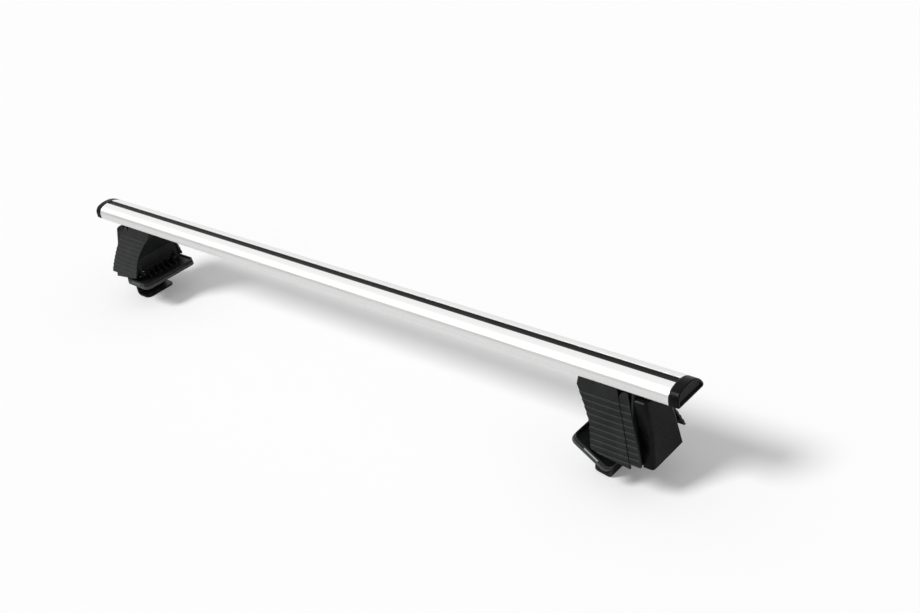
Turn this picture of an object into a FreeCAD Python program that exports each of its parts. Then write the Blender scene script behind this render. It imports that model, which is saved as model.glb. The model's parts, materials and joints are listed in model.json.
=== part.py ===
import FreeCAD, Part
import math
import os
from FreeCAD import Vector

# Roof rack crossbar: an arched aluminium profile that stands on two clamping feet. Sizes in millimetres.
# Frame: X along the bar, Y across it, Z up from the ground that the two clamp hooks stand on.
# A foot is drawn once in its own frame, where X runs outboard from the end of the profile and Z runs up
# from the bar's flat underside. "inboard" distances run the other way along X, and "drop" is depth below Z = 0.

# Bar profile
BAR_LENGTH = 1250.0
BAR_FRONT = 25.7
BAR_HEIGHT = 25.4
BAR_WALL = 2.0
SHOULDER_RADIUS = 14.0
SHOULDER_TURN = 18.0
TAIL_RADIUS = 36.0
TAIL_TURN = 8.0
EDGE_RADIUS = 4.0
SLOT_MOUTH = 11.0
SLOT_LIP = 2.4
SLOT_WIDTH = 19.0
SLOT_DEPTH = 9.5
CHANNEL_MOUTH = 8.6
CHANNEL_LIP = 2.2
CHANNEL_WIDTH = 17.0
CHANNEL_DEPTH = 7.4

# Rubber strip in the top slot
STRIP_SIDE_GAP = 0.15
STRIP_SINK = 0.5
STRIP_FLANGE_WIDTH = 15.0
STRIP_FLANGE_THICK = 1.6
STRIP_DISH = 0.7

# End caps
CAP_LENGTH = 14.7
CAP_RIM = 3.4
CAP_DISH = 2.2
CAP_ROUND = 1.8
CAP_SEAM = 0.5
CAP_SEAM_PLACE = 1.0
PLUG_LENGTH = 14.0
PLUG_FIT = 0.12

# Outline of a foot's front and rear panels, as half widths across the bar at three drops
TOP_HALF = 21.0
MID_HALF = 40.5
MID_DROP = 44.0
LOW_HALF = 55.0
LOW_DROP = 90.0
PANEL_THICK = 3.0
RIB_START = 18.0
RIB_PITCH = 7.8
RIB_COUNT = 10
RIB_DEPTH = 1.2
RIB_LEDGE = 0.8
STRIP_SET_BACK = 1.0

# Side view of the foot shell, as inboard distance and drop
SHELL_TOP = (142.0, 0.0)
SHELL_NECK = (142.0, 11.0)
SHELL_WAIST = (126.0, 32.0)
SHELL_HEEL = (113.5, 54.0)
SHELL_TOE = (108.0, 87.5)
SHELL_RECESS = 3.0
RECESS_START = 9.0
TOE_OPENING_HALF = 47.0
TOE_OPENING_RISE = 9.0
TOE_OPENING_CORNER = 7.0

# Parting line between the shell and the frame, and the outboard edge of the frame's side strips
PARTING_TOP = (81.0, 0.0)
PARTING_MID = (60.5, 46.0)
PARTING_LOW = (45.0, 95.5)
PARTING_GAP = 0.5
FRAME_TOP = (66.0, 0.0)
FRAME_MID = (45.0, 45.5)
FRAME_LOW = (30.0, 89.0)
STRIP_TOP_GAP = 4.0
STRIP_INBOARD_ROUND = 6.0
STRIP_OUTBOARD_ROUND = 3.0

# Saddle, on which the bar sits, and the frame's table below it
SADDLE_THICK = 3.0
SADDLE_HALF = 18.0
SADDLE_INBOARD = 134.0
SADDLE_OUTBOARD = 66.0
TABLE_THICK = 5.0
TABLE_INBOARD = 130.0
TABLE_OUTBOARD = 57.0
SADDLE_SCREW_PLACES = (73.0, 107.0)
SADDLE_SCREW_DIA = 6.0
SADDLE_HEAD_DIA = 12.0
SADDLE_HEAD_HIGH = 4.5
NUT_LENGTH = 18.0
NUT_SIDE_GAP = 0.4
NUT_THICK = 3.4
SCREW_CLEARANCE = 0.2
THREAD_RUN = 0.02

# Inward ledge of the shell and the two screws that hold it under the table
LEDGE_INBOARD = 137.0
LEDGE_OUTBOARD = 116.0
LEDGE_THICK = 3.0
SHELL_SCREW_PLACE = 123.0
SHELL_SCREW_HALF_SPACING = 9.0
SHELL_SCREW_DIA = 4.0
SHELL_SCREW_HEAD_DIA = 8.0
SHELL_SCREW_HEAD_HIGH = 2.6
SHELL_SCREW_BITE = 4.0

# Outboard cover, as inboard distance and drop, with its own half widths, cut off level at its top
COVER_FACE_TOP = (38.0, 2.5)
COVER_FOLD = (26.5, 55.0)
COVER_FACE_LOW = (23.0, 103.0)
COVER_BACK_TOP = (55.0, 2.5)
COVER_BACK_MID = (47.4, 48.0)
COVER_BACK_LOW = (38.8, 103.0)
COVER_TOP_HALF = 22.5
COVER_MID_HALF = 29.0
COVER_MID_DROP = 50.0
COVER_LOW_HALF = 36.5
COVER_WALL = 2.5
COVER_TOP_DROP = 9.5
COVER_TOP_CORNER = 7.0
COVER_CORNER = 5.0
COVER_GROOVE = 0.9
COVER_PULL = 30.0
TONGUE_HALF = 8.0
TONGUE_THICK = 2.0
TONGUE_DROPS = (26.0, 80.0)
TONGUE_REACH = 1.5
TONGUE_FIT = 0.25

# Web of the frame behind the cover
WEB_GAP = 0.6
WEB_THICK = 3.0
WEB_LOW_DROP = 100.0
WEB_LOW_HALF = 46.0
WEB_LOW_CORNER = 8.0

# Clamp bolt, barrel nut and hook
BOLT_DIA = 8.0
BOLT_HEAD_ACROSS = 13.0
BOLT_HEAD_HIGH = 6.0
BOLT_SOCKET_ACROSS = 6.0
BOLT_SOCKET_DEPTH = 3.5
BOLT_RUN = 0.1
WASHER_DIA = 17.0
WASHER_THICK = 1.6
BOSS_RADIUS = 9.0
BOSS_DEPTH = 8.5
SEAT_SETBACK = 19.5
COLLAR_DIA = 14.0
COLLAR_LENGTH = 3.5
COLLAR_GAP = 0.3
BOLT_TAIL = 3.5
NUT_INBOARD = 62.0
NUT_DROP = 58.0
NUT_TRAVEL = 28.0
BARREL_DIA = 11.0
BARREL_OVERHANG = 3.0
BARREL_RUN = 0.05

HOOK_THICK = 3.5
HOOK_HALF = 31.0
HOOK_REACH = 91.0
HOOK_LIP = 32.5
HOOK_BEND = 8.0
HOOK_CORNER = 9.0
HOOK_WINDOW_HALF = 11.0
HOOK_WINDOW_DROP = 15.0
HOOK_SLOT_WIDTH = 9.0
HOOK_SLOT_HEIGHT = 24.0
HOOK_SLOT_SPACING = 18.0
HOOK_SLOT_LOW = 17.0
RIGHT_HOOK_SWING = 10.0

# Pad that tilts on two stub bolts
PIVOT_INBOARD = 103.6
PIVOT_DROP = 90.0
PIVOT_OVER_PAD = 14.0
PIVOT_DIA = 5.0
PIVOT_RUN = 0.05
PIVOT_HEAD_DIA = 8.5
PIVOT_HEAD_THICK = 2.2
PIVOT_NUT_ACROSS = 8.0
PIVOT_NUT_THICK = 4.0
LUG_THICK = 5.0
LUG_RADIUS = 5.0
EAR_THICK = 3.5
EAR_RADIUS = 6.3
EAR_GAP = 0.3
PAD_LENGTH = 67.0
PAD_SHIFT = 2.2
PAD_HALF = 57.0
PAD_CORNER = 10.0
PAD_THICK = 5.5
INSERT_THICK = 1.6
INSERT_INSET = 3.0
INSERT_TAB_INSET = 0.9
INSERT_TAB_HALF = 12.5
PAD_GROOVE_WIDTH = 2.0
PAD_GROOVE_DEPTH = 1.0
PAD_GROOVE_COUNT = 4
NOTCH_DEPTH = 27.0
NOTCH_SIDE_GAP = 2.5
TRAY_INSET = 0.6
TRAY_PLATE = 1.8
TRAY_RIM = 2.5
TRAY_RIM_HIGH = 2.5
TRAY_WALL = 2.2
TRAY_WALL_TOP = 83.6
TRAY_WALL_HALF = 31.0
RIGHT_PAD_TILT = 34.0

# Values worked out from the sizes above
EYE_RADIUS = BARREL_DIA / 2 + HOOK_THICK
HOOK_DEPTH_SWUNG = (
    HOOK_BEND
    + (EYE_RADIUS - HOOK_BEND) * math.sin(math.radians(RIGHT_HOOK_SWING))
    + (HOOK_REACH - HOOK_BEND) * math.cos(math.radians(RIGHT_HOOK_SWING))
)
SLOPE = math.asin((HOOK_REACH - HOOK_DEPTH_SWUNG) / NUT_TRAVEL)
BAR_STAND = NUT_DROP + HOOK_REACH
NOTCH_HALF = HOOK_HALF + NOTCH_SIDE_GAP
EAR_INNER = NOTCH_HALF + EAR_GAP
LUG_INNER = EAR_INNER + EAR_THICK + EAR_GAP
PAD_MIDDLE = PIVOT_INBOARD + PAD_SHIFT
TRAY_BASE = PAD_THICK + INSERT_THICK
WIDE = 4 * LOW_HALF


def point(inboard, drop, across=0.0):
    """A point of the foot's frame from an inboard distance and a drop below the bar."""
    return Vector(-inboard, across, -drop)


def arc(start, middle, end):
    return Part.Arc(start, middle, end).toShape()


def line(start, end):
    return Part.makeLine(start, end)


def face(edges):
    return Part.Face(Part.Wire(Part.__sortEdges__(edges)))


def polygon(points):
    return Part.Face(Part.makePolygon(points + points[:1]))


def box(x_span, y_span, z_span):
    """A box between two values along each axis, given in any order."""
    low = Vector(min(x_span), min(y_span), min(z_span))
    high = Vector(max(x_span), max(y_span), max(z_span))
    size = high - low
    return Part.makeBox(size.x, size.y, size.z, low)


def block(inboards, halves, drops):
    """A box in the foot's frame, between two inboard distances, two Y values and two drops."""
    return box([-value for value in inboards], halves, [-value for value in drops])


def across(flat):
    """The prism that a side view face makes when it runs right across the foot."""
    moved = flat.translated(Vector(0, -WIDE / 2, 0))
    return moved.extrude(Vector(0, WIDE, 0))


def rod(start, direction, radius, length):
    return Part.makeCylinder(radius, length, start, direction)


def hexagon(start, direction, across_flats, length):
    """A hexagonal prism that runs from start along direction."""
    corner = across_flats / math.sqrt(3)
    angles = [math.radians(60 * k) for k in range(6)]
    ring = [Vector(corner * math.cos(a), corner * math.sin(a), 0) for a in angles]
    prism = polygon(ring).extrude(Vector(0, 0, length))
    prism.Placement = FreeCAD.Placement(start, FreeCAD.Rotation(Vector(0, 0, 1), direction))
    return prism


def quadratic(at, drops, values):
    """The value at a drop of the parabola that passes through three given ones."""
    total = 0.0
    for i, value in enumerate(values):
        share = value
        for j, other in enumerate(drops):
            if j != i:
                share *= (at - other) / (drops[i] - other)
        total += share
    return total


def panel_half(drop):
    return quadratic(drop, (0.0, MID_DROP, LOW_DROP), (TOP_HALF, MID_HALF, LOW_HALF))


def cover_half(drop):
    halves = (COVER_TOP_HALF, COVER_MID_HALF, COVER_LOW_HALF)
    return quadratic(drop, (0.0, COVER_MID_DROP, COVER_FACE_LOW[1]), halves)


# Bar

def around(centre, radius, turn):
    """A point on a circle across the bar, by its turn in radians from straight up towards +Y."""
    return Vector(0, centre.y + radius * math.sin(turn), centre.z + radius * math.cos(turn))


def turned_arc(centre, radius, start, end):
    return arc(*[around(centre, radius, turn) for turn in (start, (start + end) / 2, end)])


def bar_outline(inset=0.0):
    """Face of the section at X = 0: a blunt front, a low crown and a longer tail, set in by an even wall."""
    front_turn = math.radians(SHOULDER_TURN)
    tail_turn = math.radians(TAIL_TURN)
    extra = (BAR_FRONT - SHOULDER_RADIUS) / math.sin(front_turn)
    crown = SHOULDER_RADIUS + extra
    crown_centre = Vector(0, 0, BAR_HEIGHT - crown)
    shoulder_centre = around(crown_centre, extra, -front_turn)
    tail_centre = around(crown_centre, crown - TAIL_RADIUS, tail_turn)
    front_centre = Vector(0, EDGE_RADIUS - BAR_FRONT, EDGE_RADIUS)
    drop = EDGE_RADIUS - tail_centre.z
    reach = math.sqrt((TAIL_RADIUS - EDGE_RADIUS) ** 2 - drop ** 2)
    tip_centre = Vector(0, tail_centre.y + reach, EDGE_RADIUS)
    tip_turn = math.atan2(reach, drop)
    edge = EDGE_RADIUS - inset
    quarter = math.pi / 2
    edges = [
        turned_arc(crown_centre, crown - inset, -front_turn, tail_turn),
        turned_arc(shoulder_centre, SHOULDER_RADIUS - inset, -quarter, -front_turn),
        line(around(shoulder_centre, SHOULDER_RADIUS - inset, -quarter), around(front_centre, edge, -quarter)),
        turned_arc(front_centre, edge, -2 * quarter, -quarter),
        line(around(front_centre, edge, 2 * quarter), around(tip_centre, edge, 2 * quarter)),
        turned_arc(tip_centre, edge, tip_turn, 2 * quarter),
        turned_arc(tail_centre, TAIL_RADIUS - inset, tail_turn, tip_turn),
    ]
    return face(edges)


def mirrored(vector):
    return Vector(vector.x, -vector.y, vector.z)


def hollow_cores(length, start, inset, grow):
    """The two side chambers of the profile, walls set in by inset, housings grown by grow."""
    core = bar_outline(inset).translated(Vector(start, 0, 0)).extrude(Vector(length, 0, 0))
    span = (start - 1, start + length + 1)
    slot_half = SLOT_WIDTH / 2 + BAR_WALL + grow
    channel_half = CHANNEL_WIDTH / 2 + BAR_WALL + grow
    slot_house = box(span, (-slot_half, slot_half), (BAR_HEIGHT - SLOT_DEPTH - BAR_WALL - grow, BAR_HEIGHT))
    channel_house = box(span, (-channel_half, channel_half), (0, CHANNEL_DEPTH + BAR_WALL + grow))
    web_half = BAR_WALL / 2 + grow
    web = box(span, (-web_half, web_half), (0, BAR_HEIGHT))
    return core.cut(slot_house).cut(channel_house).cut(web)


def slot_space(span, mouth, width, lip, depth, top):
    """T-shaped space that opens through the top or, with a negative depth, through the underside."""
    sign = 1 if depth > 0 else -1
    throat = box(span, (-mouth / 2, mouth / 2), (top + sign, top - sign * lip))
    room = box(span, (-width / 2, width / 2), (top - sign * lip, top - depth))
    return throat.fuse(room)


def bar_extrusion():
    half = BAR_LENGTH / 2
    solid = bar_outline().translated(Vector(-half, 0, 0)).extrude(Vector(BAR_LENGTH, 0, 0))
    span = (-half - 1, half + 1)
    solid = solid.cut(hollow_cores(BAR_LENGTH + 2, -half - 1, BAR_WALL, 0.0))
    solid = solid.cut(slot_space(span, SLOT_MOUTH, SLOT_WIDTH, SLOT_LIP, SLOT_DEPTH, BAR_HEIGHT))
    solid = solid.cut(slot_space(span, CHANNEL_MOUTH, CHANNEL_WIDTH, CHANNEL_LIP, -CHANNEL_DEPTH, 0.0))
    return solid.translated(Vector(0, 0, BAR_STAND))


def slot_infill_strip():
    """Rubber strip whose head fills the mouth of the slot and whose flange lies under the lips."""
    half = BAR_LENGTH / 2
    span = (-half, half)
    head_half = SLOT_MOUTH / 2 - STRIP_SIDE_GAP
    flange_half = STRIP_FLANGE_WIDTH / 2
    top = BAR_HEIGHT - STRIP_SINK
    lip_under = BAR_HEIGHT - SLOT_LIP
    head = box(span, (-head_half, head_half), (lip_under - STRIP_FLANGE_THICK, top))
    flange = box(span, (-flange_half, flange_half), (lip_under - STRIP_FLANGE_THICK, lip_under))
    rise = head_half ** 2 / (2 * STRIP_DISH) + STRIP_DISH / 2
    dish = rod(Vector(-half - 1, 0, top + rise - STRIP_DISH), Vector(1, 0, 0), rise, BAR_LENGTH + 2)
    solid = head.fuse(flange).removeSplitter().cut(dish)
    return solid.translated(Vector(0, 0, BAR_STAND))


def end_cap():
    """Right-hand cap: a plate of the profile's outline with a dished outer face, a seam and two plugs."""
    half = BAR_LENGTH / 2
    plate = bar_outline().translated(Vector(half, 0, 0)).extrude(Vector(CAP_LENGTH, 0, 0))
    outer = [edge for edge in plate.Edges if edge.BoundBox.XMin > half + CAP_LENGTH / 2]
    plate = plate.makeFillet(CAP_ROUND, outer)
    dish_start = Vector(half + CAP_LENGTH - CAP_DISH, 0, 0)
    dish = bar_outline(CAP_RIM).translated(dish_start).extrude(Vector(CAP_DISH + 1, 0, 0))
    ring = bar_outline().cut(bar_outline(CAP_SEAM)).translated(Vector(half + CAP_SEAM_PLACE, 0, 0))
    seam = ring.extrude(Vector(CAP_SEAM, 0, 0))
    plugs = hollow_cores(PLUG_LENGTH, half - PLUG_LENGTH, BAR_WALL + PLUG_FIT, PLUG_FIT)
    return plate.cut(dish).cut(seam).fuse(plugs.Solids).removeSplitter().translated(Vector(0, 0, BAR_STAND))


# Foot mouldings

def ribbed_side(set_back):
    """Points down one side of the foot: a smooth band, then boards that each stand out at the top."""
    points = []
    for k in range(4):
        drop = RIB_START * k / 3
        points.append((panel_half(drop) - set_back, drop))
    for k in range(RIB_COUNT):
        start = RIB_START + k * RIB_PITCH
        end = start + RIB_PITCH
        points.append((panel_half(start + RIB_LEDGE) - set_back + RIB_DEPTH, start + RIB_LEDGE))
        points.append((panel_half(end) - set_back, end))
    return points


def plain_side(set_back):
    """Points down the plain inner side, which follows the same curve as the boards."""
    steps = 8
    deepest = RIB_START + RIB_COUNT * RIB_PITCH
    drops = [deepest * k / steps for k in range(steps + 1)]
    return [(panel_half(drop) - set_back, drop) for drop in drops]


def panel_prism(points):
    """The prism along the bar whose two sides follow the given points."""
    near = [Vector(0, half, -drop) for half, drop in points]
    far = [Vector(0, -half, -drop) for half, drop in reversed(points)]
    prism = polygon(near + far).extrude(Vector(-WIDE, 0, 0))
    return prism


def shell_outline(inset=0.0):
    """Side view of the shell, with its hollowed inboard edge set in by inset."""
    top = point(SHELL_TOP[0] - inset, SHELL_TOP[1])
    neck = point(SHELL_NECK[0] - inset, SHELL_NECK[1])
    waist = point(SHELL_WAIST[0] - inset, SHELL_WAIST[1])
    heel = point(SHELL_HEEL[0] - inset, SHELL_HEEL[1])
    toe = point(SHELL_TOE[0] - inset, SHELL_TOE[1])
    part_top = point(PARTING_TOP[0] + PARTING_GAP, PARTING_TOP[1])
    part_mid = point(PARTING_MID[0] + PARTING_GAP, PARTING_MID[1])
    part_low = point(PARTING_LOW[0] + PARTING_GAP, PARTING_LOW[1])
    edges = [
        line(top, neck),
        arc(neck, waist, heel),
        line(heel, toe),
        line(toe, part_low),
        arc(part_low, part_mid, part_top),
        line(part_top, top),
    ]
    return face(edges)


def foot_shell():
    """Moulded shell: ribbed front and rear panels, hollowed inboard wall, ledge and pivot lugs."""
    body = across(shell_outline()).common(panel_prism(ribbed_side(0.0)))
    inner = panel_prism(plain_side(PANEL_THICK))
    wall = SHELL_RECESS + PANEL_THICK
    below = block((WIDE, 0), (-WIDE, WIDE), (RECESS_START, WIDE))
    recess = across(shell_outline().cut(shell_outline(SHELL_RECESS))).common(inner).common(below)
    hollow = across(deep_outline(wall)).common(inner)
    body = body.cut(recess).cut(hollow).cut(toe_opening())
    body = body.fuse([ledge(inner), *[lug(sign) for sign in (-1, 1)]]).removeSplitter()
    for sign in (-1, 1):
        body = body.cut(rod(shell_screw_point(sign), Vector(0, 0, 1), hole(SHELL_SCREW_DIA), LEDGE_THICK + 2))
    return largest(body)


def deep_outline(wall):
    """Side view of the space inside the shell, which is open below and outboard."""
    below = [
        point(SHELL_TOE[0] - wall, SHELL_TOE[1]),
        point(PARTING_LOW[0] - wall, PARTING_LOW[1]),
        point(0, WIDE),
        point(SHELL_TOE[0] - wall, WIDE),
    ]
    outboard = [
        point(PARTING_TOP[0] + wall, -1),
        point(PARTING_LOW[0] + wall, WIDE),
        point(0, WIDE),
        point(0, -1),
    ]
    return shell_outline(wall).fuse([polygon(below), polygon(outboard)]).removeSplitter()


def toe_opening():
    """Round-cornered opening at the foot of the inboard wall, where the tilting tray shows."""
    top = SHELL_TOE[1] - TOE_OPENING_RISE
    inboards = (SHELL_NECK[0], SHELL_TOE[0] - SHELL_RECESS - 2 * PANEL_THICK)
    slab = block(inboards, (-TOE_OPENING_HALF, TOE_OPENING_HALF), (top, WIDE))
    corners = [
        edge
        for edge in slab.Edges
        if abs(edge.CenterOfMass.z + top) < 0.01 and abs(edge.CenterOfMass.y) > TOE_OPENING_HALF / 2
    ]
    return slab.makeFillet(TOE_OPENING_CORNER, corners)


def ledge(inner):
    under = SADDLE_THICK + TABLE_THICK
    slab = block((LEDGE_INBOARD, LEDGE_OUTBOARD), (-WIDE, WIDE), (under, under + LEDGE_THICK))
    return slab.common(panel_prism(plain_side(PANEL_THICK / 2)))


def lug(sign):
    """Plate inside the shell that hangs down to carry one stub bolt of the tilting pad."""
    halves = (sign * LUG_INNER, sign * (LUG_INNER + LUG_THICK))
    drops = (MID_DROP - LUG_THICK, PIVOT_DROP - EAR_RADIUS)
    wide = block((SHELL_HEEL[0], PIVOT_INBOARD - LUG_RADIUS), halves, drops)
    narrow = block(
        (PIVOT_INBOARD + LUG_RADIUS, PIVOT_INBOARD - LUG_RADIUS), halves, (MID_DROP, PIVOT_DROP)
    )
    start = point(PIVOT_INBOARD, PIVOT_DROP, sign * LUG_INNER)
    end = rod(start, Vector(0, sign, 0), LUG_RADIUS, LUG_THICK)
    bore = rod(start - Vector(0, sign, 0), Vector(0, sign, 0), PIVOT_DIA / 2 + PIVOT_RUN, LUG_THICK + 2)
    inside = across(shell_outline(SHELL_RECESS + PANEL_THICK / 2))
    wide = wide.common(inside).common(panel_prism(plain_side(PANEL_THICK / 2)))
    return wide.fuse([narrow.common(panel_prism(plain_side(PANEL_THICK / 2))), end]).removeSplitter().cut(bore)


def frame_outline():
    """Side view of the narrow ribbed strips between the parting line and the dark gap."""
    edges = [
        arc(point(*PARTING_TOP), point(*PARTING_MID), point(*PARTING_LOW)),
        line(point(*PARTING_LOW), point(*FRAME_LOW)),
        arc(point(*FRAME_LOW), point(*FRAME_MID), point(*FRAME_TOP)),
        line(point(*FRAME_TOP), point(*PARTING_TOP)),
    ]
    return face(edges)


def back_arc(gap):
    """Curve behind the cover's side walls, moved inboard by a gap."""
    return [point(inboard + gap, drop) for inboard, drop in (COVER_BACK_TOP, COVER_BACK_MID, COVER_BACK_LOW)]


def web_outline():
    front = back_arc(WEB_GAP)
    rear = back_arc(WEB_GAP + WEB_THICK)
    edges = [arc(*front), arc(*rear), line(front[0], rear[0]), line(front[2], rear[2])]
    return face(edges)


def bolt_point(along):
    """A point on the clamp bolt's axis, counted inboard from where the left foot's nut stands."""
    return point(NUT_INBOARD + along * math.cos(SLOPE), NUT_DROP + along * math.sin(SLOPE))


def bolt_direction():
    return Vector(-math.cos(SLOPE), 0, -math.sin(SLOPE))


def side_strips():
    """The two narrow ribbed strips, round at their top corners."""
    slab = across(frame_outline()).common(block((WIDE, 0), (-WIDE, WIDE), (STRIP_TOP_GAP, FRAME_LOW[1])))
    slab = slab.makeFillet(STRIP_INBOARD_ROUND, top_edges(slab)[:1])
    slab = slab.makeFillet(STRIP_OUTBOARD_ROUND, top_edges(slab)[-1:])
    strips = slab.common(panel_prism(ribbed_side(STRIP_SET_BACK)))
    return strips.cut(panel_prism(plain_side(STRIP_SET_BACK + PANEL_THICK)))


def top_edges(slab):
    """The edges across the bar at the slab's level top, the inboard one first."""
    level = [edge for edge in slab.Edges if abs(edge.BoundBox.ZMin + STRIP_TOP_GAP) < 0.01]
    crossing = [edge for edge in level if edge.BoundBox.XLength < 0.01]
    return sorted(crossing, key=lambda edge: edge.CenterOfMass.x)


def web_plate():
    """Web behind the cover, which hangs below the strips as a round-cornered apron."""
    snug = panel_prism(plain_side(STRIP_SET_BACK + PANEL_THICK / 2))
    high = block((WIDE, 0), (-WIDE, WIDE), (SADDLE_THICK, FRAME_LOW[1] - 1))
    apron = block((WIDE, 0), (-WEB_LOW_HALF, WEB_LOW_HALF), (FRAME_LOW[1] - 2 * WEB_LOW_CORNER, WEB_LOW_DROP))
    corners = [
        edge
        for edge in apron.Edges
        if abs(edge.CenterOfMass.z + WEB_LOW_DROP) < 0.01 and edge.BoundBox.XLength > WIDE / 2
    ]
    apron = apron.makeFillet(WEB_LOW_CORNER, corners)
    plate = across(web_outline())
    return plate.common(snug).common(high).fuse(plate.common(apron)).removeSplitter()


def foot_frame():
    """Second moulding: side strips, web behind the cover, table under the saddle and boss for the bolt."""
    drops = (SADDLE_THICK, SADDLE_THICK + TABLE_THICK)
    table = block((TABLE_INBOARD, TABLE_OUTBOARD), (-SADDLE_HALF, SADDLE_HALF), drops)
    boss = rod(bolt_point(-SEAT_SETBACK), bolt_direction(), BOSS_RADIUS, BOSS_DEPTH)
    solid = web_plate().fuse([side_strips(), table, boss]).removeSplitter()
    far = -2 * SEAT_SETBACK
    solid = solid.cut(rod(bolt_point(far), bolt_direction(), BOLT_DIA / 2 + BOLT_RUN, WIDE))
    pocket = rod(bolt_point(far), bolt_direction(), BOSS_RADIUS + 1, SEAT_SETBACK)
    solid = solid.cut(pocket)
    for place in SADDLE_SCREW_PLACES:
        solid = solid.cut(rod(point(place, WIDE / 2), Vector(0, 0, 1), hole(SADDLE_SCREW_DIA), WIDE))
    for sign in (-1, 1):
        solid = solid.cut(rod(shell_screw_point(sign), Vector(0, 0, 1), SHELL_SCREW_DIA / 2 + THREAD_RUN, WIDE))
    for drop in TONGUE_DROPS:
        halves = (-TONGUE_HALF - TONGUE_FIT, TONGUE_HALF + TONGUE_FIT)
        drops = (drop - TONGUE_THICK / 2 - TONGUE_FIT, drop + TONGUE_THICK / 2 + TONGUE_FIT)
        solid = solid.cut(block((cover_back_at(drop) + 2 * WEB_THICK, 0), halves, drops))
    return largest(solid)


def hole(diameter):
    return diameter / 2 + SCREW_CLEARANCE


def largest(shape):
    """The biggest solid of a shape, which drops slivers left where two curved faces graze."""
    return max(shape.Solids, key=lambda solid: solid.Volume)


# Outboard cover

def cover_prism(inset):
    """The prism along the bar whose sides are the cover's, set in by inset."""
    drops = (0.0, COVER_MID_DROP, COVER_FACE_LOW[1])
    near = [Vector(0, cover_half(drop) - inset, -drop) for drop in drops]
    far = [mirrored(vector) for vector in near]
    edges = [arc(*near), arc(*far), line(near[0], far[0]), line(near[2], far[2])]
    return face(edges).extrude(Vector(-WIDE, 0, 0))


def cover_outline(face_inset, end_inset, back_extra):
    """Side view of the cover: a folded outer face, closed ends and a curved open back."""
    top = COVER_FACE_TOP[1] + end_inset
    low = COVER_FACE_LOW[1] - end_inset
    face_top = point(COVER_FACE_TOP[0] + face_inset, top)
    fold = point(COVER_FOLD[0] + face_inset, COVER_FOLD[1])
    face_low = point(COVER_FACE_LOW[0] + face_inset, low)
    back_top = point(COVER_BACK_TOP[0] + back_extra, top)
    back_mid = point(COVER_BACK_MID[0] + back_extra, COVER_BACK_MID[1])
    back_low = point(COVER_BACK_LOW[0] + back_extra, low)
    edges = [
        line(face_top, fold),
        line(fold, face_low),
        line(face_low, back_low),
        arc(back_low, back_mid, back_top),
        line(back_top, face_top),
    ]
    return face(edges)


def outer_cover():
    """Cover with rounded corners, a groove round its face and two tongues that enter the web."""
    solid = across(cover_outline(0.0, 0.0, 0.0)).common(cover_prism(0.0)).common(below(COVER_TOP_DROP))
    solid = solid.makeFillet(COVER_TOP_CORNER, [edge for edge in solid.Edges if is_cover_top_corner(edge)])
    solid = solid.makeFillet(COVER_CORNER, [edge for edge in solid.Edges if is_cover_corner(edge)])
    hollow = across(cover_outline(COVER_WALL, COVER_WALL, COVER_WALL)).common(cover_prism(COVER_WALL))
    hollow = hollow.common(below(COVER_TOP_DROP + COVER_WALL))
    tops = [edge for edge in hollow.Edges if is_cover_top_corner(edge)]
    solid = solid.cut(hollow.makeFillet(COVER_TOP_CORNER - COVER_WALL, tops))
    ring = cover_prism(COVER_CORNER).cut(cover_prism(COVER_CORNER + COVER_GROOVE))
    skin = across(cover_outline(0.0, 0.0, 0.0).cut(cover_outline(COVER_GROOVE, -1.0, 1.0)))
    solid = solid.cut(ring.common(skin))
    return largest(solid.fuse([tongue(drop) for drop in TONGUE_DROPS]).removeSplitter())


def below(drop):
    """Everything under a drop, as a box to keep with common."""
    return block((WIDE, 0), (-WIDE, WIDE), (drop, WIDE))


def is_cover_top_corner(edge):
    """True for the two edges along the bar where the top meets the side walls."""
    bounds = edge.BoundBox
    level = bounds.ZLength < 0.01 and bounds.ZMax > -COVER_TOP_DROP - COVER_WALL - 0.01
    return level and bounds.YLength < 1 and abs(edge.CenterOfMass.y) > COVER_TOP_HALF / 2


def is_cover_corner(edge):
    """True for the long edges where the folded face meets the side walls."""
    ends = [vertex.Point for vertex in edge.Vertexes]
    tall = abs(ends[0].z - ends[-1].z) > COVER_FACE_LOW[1] / 4
    outboard = all(-end.x < COVER_FACE_TOP[0] + 1 for end in ends)
    return tall and outboard and abs(ends[0].y) > COVER_TOP_HALF / 2


def cover_face_at(drop):
    """Inboard distance of the cover's outer face at a drop."""
    top, low = (COVER_FACE_TOP, COVER_FOLD) if drop < COVER_FOLD[1] else (COVER_FOLD, COVER_FACE_LOW)
    return top[0] + (low[0] - top[0]) * (drop - top[1]) / (low[1] - top[1])


def cover_back_at(drop):
    drops = (COVER_BACK_TOP[1], COVER_BACK_MID[1], COVER_BACK_LOW[1])
    return quadratic(drop, drops, (COVER_BACK_TOP[0], COVER_BACK_MID[0], COVER_BACK_LOW[0]))


def tongue(drop):
    start = cover_face_at(drop) + COVER_WALL / 2
    end = cover_back_at(drop) + WEB_GAP + WEB_THICK + TONGUE_REACH
    drops = (drop - TONGUE_THICK / 2, drop + TONGUE_THICK / 2)
    return block((start, end), (-TONGUE_HALF, TONGUE_HALF), drops)


# Saddle and its screws

def saddle_plate():
    plate = block((SADDLE_INBOARD, SADDLE_OUTBOARD), (-SADDLE_HALF, SADDLE_HALF), (0, SADDLE_THICK))
    for place in SADDLE_SCREW_PLACES:
        plate = plate.cut(rod(point(place, WIDE / 2), Vector(0, 0, 1), hole(SADDLE_SCREW_DIA), WIDE))
    return plate


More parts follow.
